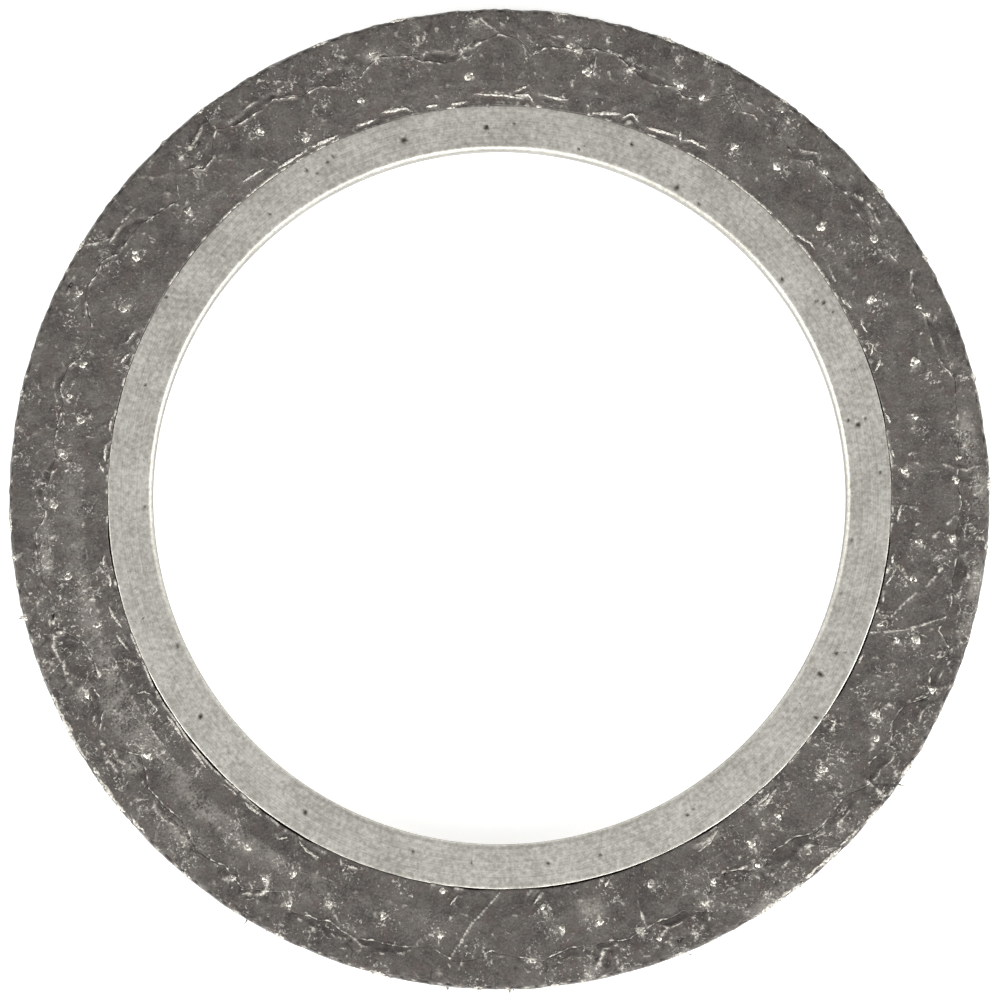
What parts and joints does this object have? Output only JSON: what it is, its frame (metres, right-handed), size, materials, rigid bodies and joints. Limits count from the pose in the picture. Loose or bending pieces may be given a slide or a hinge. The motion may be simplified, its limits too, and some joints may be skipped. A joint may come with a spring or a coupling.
{
  "type": "exhaust gas recirculation valve gasket",
  "caption": "Flat pressed ring gasket of graphite foil and knitted steel wire, with a flanged steel eyelet lining its bore, for sealing an exhaust gas pipe flange.",
  "frame": {"origin": "on the bore's axis, half way through the thickness", "axes": "+Z along the bore's axis, out of the upper face; +X and +Y lie in the plane of the ring"},
  "size_m": [0.054, 0.054, 0.0044],
  "materials": {
    "steel": "stainless steel sheet, rolled to shape and pressed, matte",
    "graphite": "graphite foil wound up with knitted steel wire and pressed in a die, dull satin",
    "wire": "bare stainless steel wire, flattened and polished by the die"
  },
  "bodies": {
    "root": {"steel_eyelet": "steel", "graphite_ring": "graphite", "knitted_wire": "wire"}
  },
  "joints": []
}
